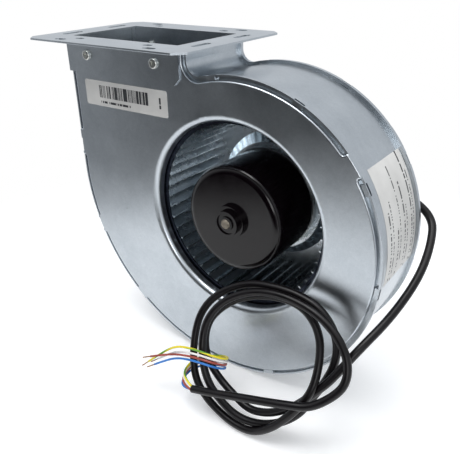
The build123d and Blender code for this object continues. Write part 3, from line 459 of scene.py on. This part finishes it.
FINISHES = {
    "galvanised_sheet": housing_zinc,
    "zinc_screw": zinc_screw,
    "bearing_steel": bearing_steel,
    "shaft_steel": shaft_steel,
    "black_coat": rotor_coat,
    "cast_aluminium": cast_aluminium,
    "lamination_steel": lamination,
    "insulator_plastic": slot_liner,
    "copper_wire": copper,
    "black_plastic": black_nylon,
    "grommet_rubber": grommet_rubber,
    "cable_sheath": sheath_pvc,
    "core_yellow_pvc": core_stripes,
    "core_white_pvc": white_pvc,
    "core_red_pvc": red_pvc,
    "core_blue_pvc": blue_pvc,
}
OWN_FINISH = {
    "barcode_label": barcode_paper,
    "rating_label": rating_paper,
    # The front ring gets the blue-black painted shade.
    "impeller_front_ring": shaded_ring_finish,
    # Blades and back disc get the zinc with the lighter base colour painted in as highlight.
    "impeller_blades": lightened_impeller_zinc,
    "impeller_back_disc": lightened_impeller_zinc,
}
for entry in frame["record"]["subparts"]:
    chosen = OWN_FINISH.get(entry["node"]) or FINISHES[entry["material_slot"]]
    held = nodes[entry["node"]].data.materials
    held.clear()
    held.append(chosen)

# ---------------------------------------------------------------- supply cable
# Route from inside the terminal cap, over the saddle and round the rim, down to the coil.
CABLE_ROUTE = [
    (120.5, 43.0, -124.0), (150.0, 43.0, -124.0), (178.0, 43.0, -113.0), (205.0, 43.0, -106.0),
    (226.0, 43.5, -119.0), (232.0, 26.5, -132.0), (234.0, 1.5, -147.0), (227.5, -27.5, -166.0),
    (216.5, -56.5, -182.0), (205.0, -66.5, -204.0),
]
# The coil leans back against the intake side: right, up the slope and forward from its middle.
COIL_MIDDLE = np.array((151.5, -64.5, -214.0))
LEAN = radians(25)
COIL_AXES = np.array(((1.0, 0.0, 0.0), (0.0, sin(LEAN), cos(LEAN)), (0.0, -cos(LEAN), sin(LEAN))))
COIL = [
    (46.5, -2, 5.5), (36.5, -16, 4), (25, -27.5, 1.5), (12, -36.5, 0), (-4, -41, 0),
    (-20, -35.5, 0), (-37, -28, 0), (-51, -18, 0), (-57.5, -3, 0), (-57, 12, 0), (-49, 25, -1),
    (-37, 36, -2.5), (-20, 44, -3), (-2, 48, -3), (15, 47.5, -2), (29, 41, 1), (38.5, 30, 4),
    (43, 14, 7), (43.5, -3, 9), (38.5, -16, 10), (30, -30, 9.5), (19, -43.5, 8.5),
    (5, -53, 6), (-12, -53.5, 6), (-28, -50, 5.5), (-41, -44, 6.5), (-53, -34, 7),
    (-60.5, -18, 6), (-63.5, -1, 6), (-63, 15, 6), (-56, 30, 6), (-43, 42.5, 6),
    (-26, 52, 6), (-8, 55.5, 6), (12, 56.5, 6), (31, 53, 6), (44, 43.5, 5), (50.5, 31, 2),
    (51, 16, 0), (47, 2, -1), (41, -12, -1.5), (35, -27, -0.5), (24, -38, 3), (8, -46, 4),
    (-9, -47.5, 6), (-25, -41, 8.5), (-39, -31, 10.5), (-48, -15, 12), (-52.5, 3, 12),
    (-51, 17, 12), (-42.5, 32, 12), (-28, 43.5, 12), (-12, 50.5, 12), (6, 53, 12),
    (24, 51.5, 12), (41, 46.5, 12), (55, 37, 12), (64, 25, 12), (66, 11, 12.5), (59, -1, 14),
    (47, -12.5, 16), (33, -16.5, 18), (14, -22, 18.5), (-8, -28, 18.5), (-28, -34, 18.5),
    (-46, -38.5, 18),
]
CABLE_R = 3.0 * MM


def on_coil(points):
    """Points of the leaning coil, in metres: middle + right * X + up * slope + forward * front."""
    return (COIL_MIDDLE + np.asarray(points, float) @ COIL_AXES) * MM


cable_points = np.concatenate([np.array(CABLE_ROUTE) * MM, on_coil(COIL)])
cable_curve = smooth_route("supply_cable", cable_points, CABLE_R)
cable_line = line_of(cable_curve)
supply_cable = piece("supply_cable", cable_curve, "housing", "cable_sheath", sheath_pvc)
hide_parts("cable_tube", "cable_coil")

# Boot moulded on the grommet: it thins from the lip to the sheath over 22 mm, with four grooves.
GROMMET_LIP_X = 135.0 * MM
BOOT_LENGTH = 22.0 * MM
BOOT_OVERLAP = 1.0 * MM
BOOT_STEPS = 60
BOOT_LIP_R, BOOT_TAPER, BOOT_GROOVE = 4.9, 1.5, 0.35       # mm
BOOT_GROOVES = 4
RUN_AT_LIP = 6                            # first points of the line, along which X grows
along_cable = np.concatenate(
    [[0.0], np.cumsum(np.linalg.norm(np.diff(cable_line, axis=0), axis=1))])
boot_start = np.interp(GROMMET_LIP_X, cable_line[:RUN_AT_LIP, 0], along_cable[:RUN_AT_LIP])
boot_run = np.linspace(boot_start - BOOT_OVERLAP, boot_start + BOOT_LENGTH, BOOT_STEPS)
boot_path = np.stack([np.interp(boot_run, along_cable, cable_line[:, i]) for i in range(3)], -1)
boot_share = np.linspace(0.0, 1.0, BOOT_STEPS)
grooved = np.cos(boot_share * 2 * pi * BOOT_GROOVES) < -0.3
boot_radii = (BOOT_LIP_R - BOOT_TAPER * boot_share - BOOT_GROOVE * grooved) * MM
piece("grommet_boot", swept_surface(boot_path, boot_radii, 24), "housing", "grommet_rubber",
      grommet_rubber)

# ---------------------------------------------------------------- cores
CORE_R = 0.85 * MM
CORE_START = (-46.0, -38.5, 17.0)         # near the middle of the sheath's cut end
CORE_PACK = 1.2                           # mm from there to each core, both up and forward
# From the cut end round the left of the bundle, behind it, and forward on its inner side.
CORE_LOOP = [(-56.0, -37.5, 17.5), (-63.0, -33.0, 9.0), (-62.0, -26.0, -4.0),
             (-50.0, -20.5, -9.0), (-37.0, -16.0, -6.5), (-29.0, -13.5, 5.0),
             (-33.0, -11.5, 16.5)]
# Each core: how far up the slope its loop lies, its place in the sheath up and forward, its slot
# and finish, and the points of its free end, which runs out to the left over the bundle.
CORE_WAYS = {
    "core_green_yellow": (3.5, 1, 1, "core_yellow_pvc", core_stripes, [
        (-44, -7.5, 20.5), (-57, -9, 20.5), (-69, -12.5, 20), (-80, -21.5, 19), (-93, -35, 18)]),
    "core_white": (1.0, 1, -1, "core_white_pvc", white_pvc, [
        (-45, -10.5, 20.5), (-56, -12.5, 20.5), (-66, -16, 18), (-76, -22, 16), (-87, -31, 15)]),
    "core_red": (-1.5, -1, 1, "core_red_pvc", red_pvc, [
        (-44, -13, 20.5), (-56, -15, 21), (-68, -18.5, 21), (-79, -23.5, 21.5),
        (-89, -28.5, 22)]),
    "core_blue": (-4.5, -1, -1, "core_blue_pvc", blue_pvc, [
        (-41, -15.5, 20.5), (-53, -17, 21), (-65, -20.5, 20.5), (-75, -26.5, 20),
        (-85, -34, 20)]),
}
TIP_LENGTH = 8.0 * MM
TIP_ROOT = 1.0 * MM                       # of each strand inside the core's end
STRAND_R = 0.17 * MM
STRANDS_ROUND = 6
STRAND_OFFSET = 2.02 * STRAND_R
STRAND_LAY = 14 * MM                      # length of one turn
STRAND_STEPS = 14

tip_meshes = []
for core_name, (shift, side_v, side_w, core_slot, core_finish, free_end) in CORE_WAYS.items():
    start = (CORE_START[0], CORE_START[1] + CORE_PACK * side_v, CORE_START[2] + CORE_PACK * side_w)
    loop = [(u, v + shift, w) for u, v, w in CORE_LOOP]
    core_points = on_coil([start] + loop + free_end)
    core_curve = smooth_route(core_name + "_route", core_points, 0.0)
    core_line = line_of(core_curve)
    bpy.data.curves.remove(core_curve)
    core = piece(core_name + "_wire", swept_surface(core_line, CORE_R, 12), "housing", core_slot,
                 core_finish)
    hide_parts(core_name)
    # Seven bare copper strands: six laid with a slow twist round a straight one.
    heading = core_line[-1] - core_line[-3]
    heading /= np.linalg.norm(heading)
    side = np.cross(heading, UP)
    side /= np.linalg.norm(side)
    over = np.cross(heading, side)
    reach = np.linspace(-TIP_ROOT, TIP_LENGTH, STRAND_STEPS)
    for strand in range(STRANDS_ROUND + 1):
        turn = strand * pi / 3 + reach / STRAND_LAY * 2 * pi
        off = STRAND_OFFSET if strand < STRANDS_ROUND else 0.0
        strand_line = (core_line[-1] + reach[:, None] * heading
                       + off * (np.cos(turn)[:, None] * side + np.sin(turn)[:, None] * over))
        tip_meshes.append(swept_surface(strand_line, STRAND_R, 6))

tip_points, tip_faces = [], []
for mesh in tip_meshes:
    base = len(tip_points)
    tip_points += [tuple(v.co) for v in mesh.vertices]
    tip_faces += [[base + i for i in face.vertices] for face in mesh.polygons]
    bpy.data.meshes.remove(mesh)
strand_mesh = bpy.data.meshes.new("core_strands")
strand_mesh.from_pydata(tip_points, [], tip_faces)
strand_mesh.shade_smooth()
# Bare copper strands, lightly tarnished.
bare_copper = plated("bare_copper_strand", "#8a6a4c", "#c79a6c", 0.3, 0.1)
strands = piece("core_strands", strand_mesh, "housing", "copper_wire", bare_copper)
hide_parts("core_tips")

# ---------------------------------------------------------------- floor and light
# White table, which fades out between two distances from its middle and glows a little.
FLOOR_MIDDLE = (0.09, 0.0, FLOOR_Z)
FLOOR_HALF = 0.7
FADE_START, FADE_END = 0.29, 0.49
floor_material, floor_tree, floor_shader, floor_place = finish_of(
    "white_table", Roughness=0.6, Base_Color=colour("#f2f2f2"), Emission_Color=colour("#ffffff"),
    Emission_Strength=0.2)
radius = node(floor_tree, "ShaderNodeVectorMath", [(0, floor_place)], operation="LENGTH")
fade = remap(floor_tree, radius.outputs["Value"], FADE_START, FADE_END,
             interpolation_type="SMOOTHSTEP")
clear = node(floor_tree, "ShaderNodeBsdfTransparent")
faded = node(floor_tree, "ShaderNodeMixShader",
             [(0, fade), (1, floor_shader.outputs[0]), (2, clear.outputs[0])])
floor_tree.links.new(floor_tree.nodes["Material Output"].inputs["Surface"], faded.outputs[0])
floor_mesh = bpy.data.meshes.new("floor")
floor_mesh.from_pydata([(-FLOOR_HALF, -FLOOR_HALF, 0), (FLOOR_HALF, -FLOOR_HALF, 0),
                        (FLOOR_HALF, FLOOR_HALF, 0), (-FLOOR_HALF, FLOOR_HALF, 0)], [],
                       [(0, 1, 2, 3)])
floor = bpy.data.objects.new("floor", floor_mesh)
floor_mesh.materials.append(floor_material)
floor.location = FLOOR_MIDDLE
bpy.context.scene.collection.objects.link(floor)

# Studio: pale all round, with a dark end of the room to the front, a little left and low, which
# shows in reflections only. The camera itself sees plain white.
world = bpy.data.worlds.new("studio")
bpy.context.scene.world = world
world.use_nodes = True
sky = world.node_tree
direction = node(sky, "ShaderNodeTexCoord").outputs["Generated"]
towards_dark = node(sky, "ShaderNodeVectorMath", [(0, direction)], operation="DOT_PRODUCT",
                    in_1=(-0.12, -0.98, -0.14))
dusk = remap(sky, towards_dark.outputs["Value"], 0.54, 0.86, interpolation_type="SMOOTHSTEP")
room = ramp(sky, dusk, (0.0, "#dfe2e6"), (1.0, "#050507"))
seen = node(sky, "ShaderNodeLightPath").outputs["Is Camera Ray"]
shown = node(sky, "ShaderNodeMix", [("Factor", seen), (COLOUR_A, room)], data_type="RGBA")
shown.inputs[COLOUR_B].default_value = (1.0, 1.0, 1.0, 1.0)
sky.links.new(sky.nodes["Background"].inputs["Color"], shown.outputs[COLOUR_MIXED])


def softbox(name, place, aim, width, height, power):
    """Rectangular studio light that faces a point."""
    light = bpy.data.lights.new(name, "AREA")
    light.shape = "RECTANGLE"
    light.size, light.size_y = width, height
    light.energy = power
    lamp = bpy.data.objects.new(name, light)
    lamp.location = place
    lamp.rotation_euler = (Vector(aim) - Vector(place)).to_track_quat("-Z", "Y").to_euler()
    bpy.context.scene.collection.objects.link(lamp)


softbox("key_light", (0.2, 0.1, 0.95), FAN, 1.0, 1.0, 6)
softbox("table_light", (-0.05, -0.30, 0.6), (-0.05, -0.25, -0.26), 0.5, 0.4, 3)
softbox("side_light", (0.62, -0.80, 0.10), FAN, 0.3, 0.4, 1.6)
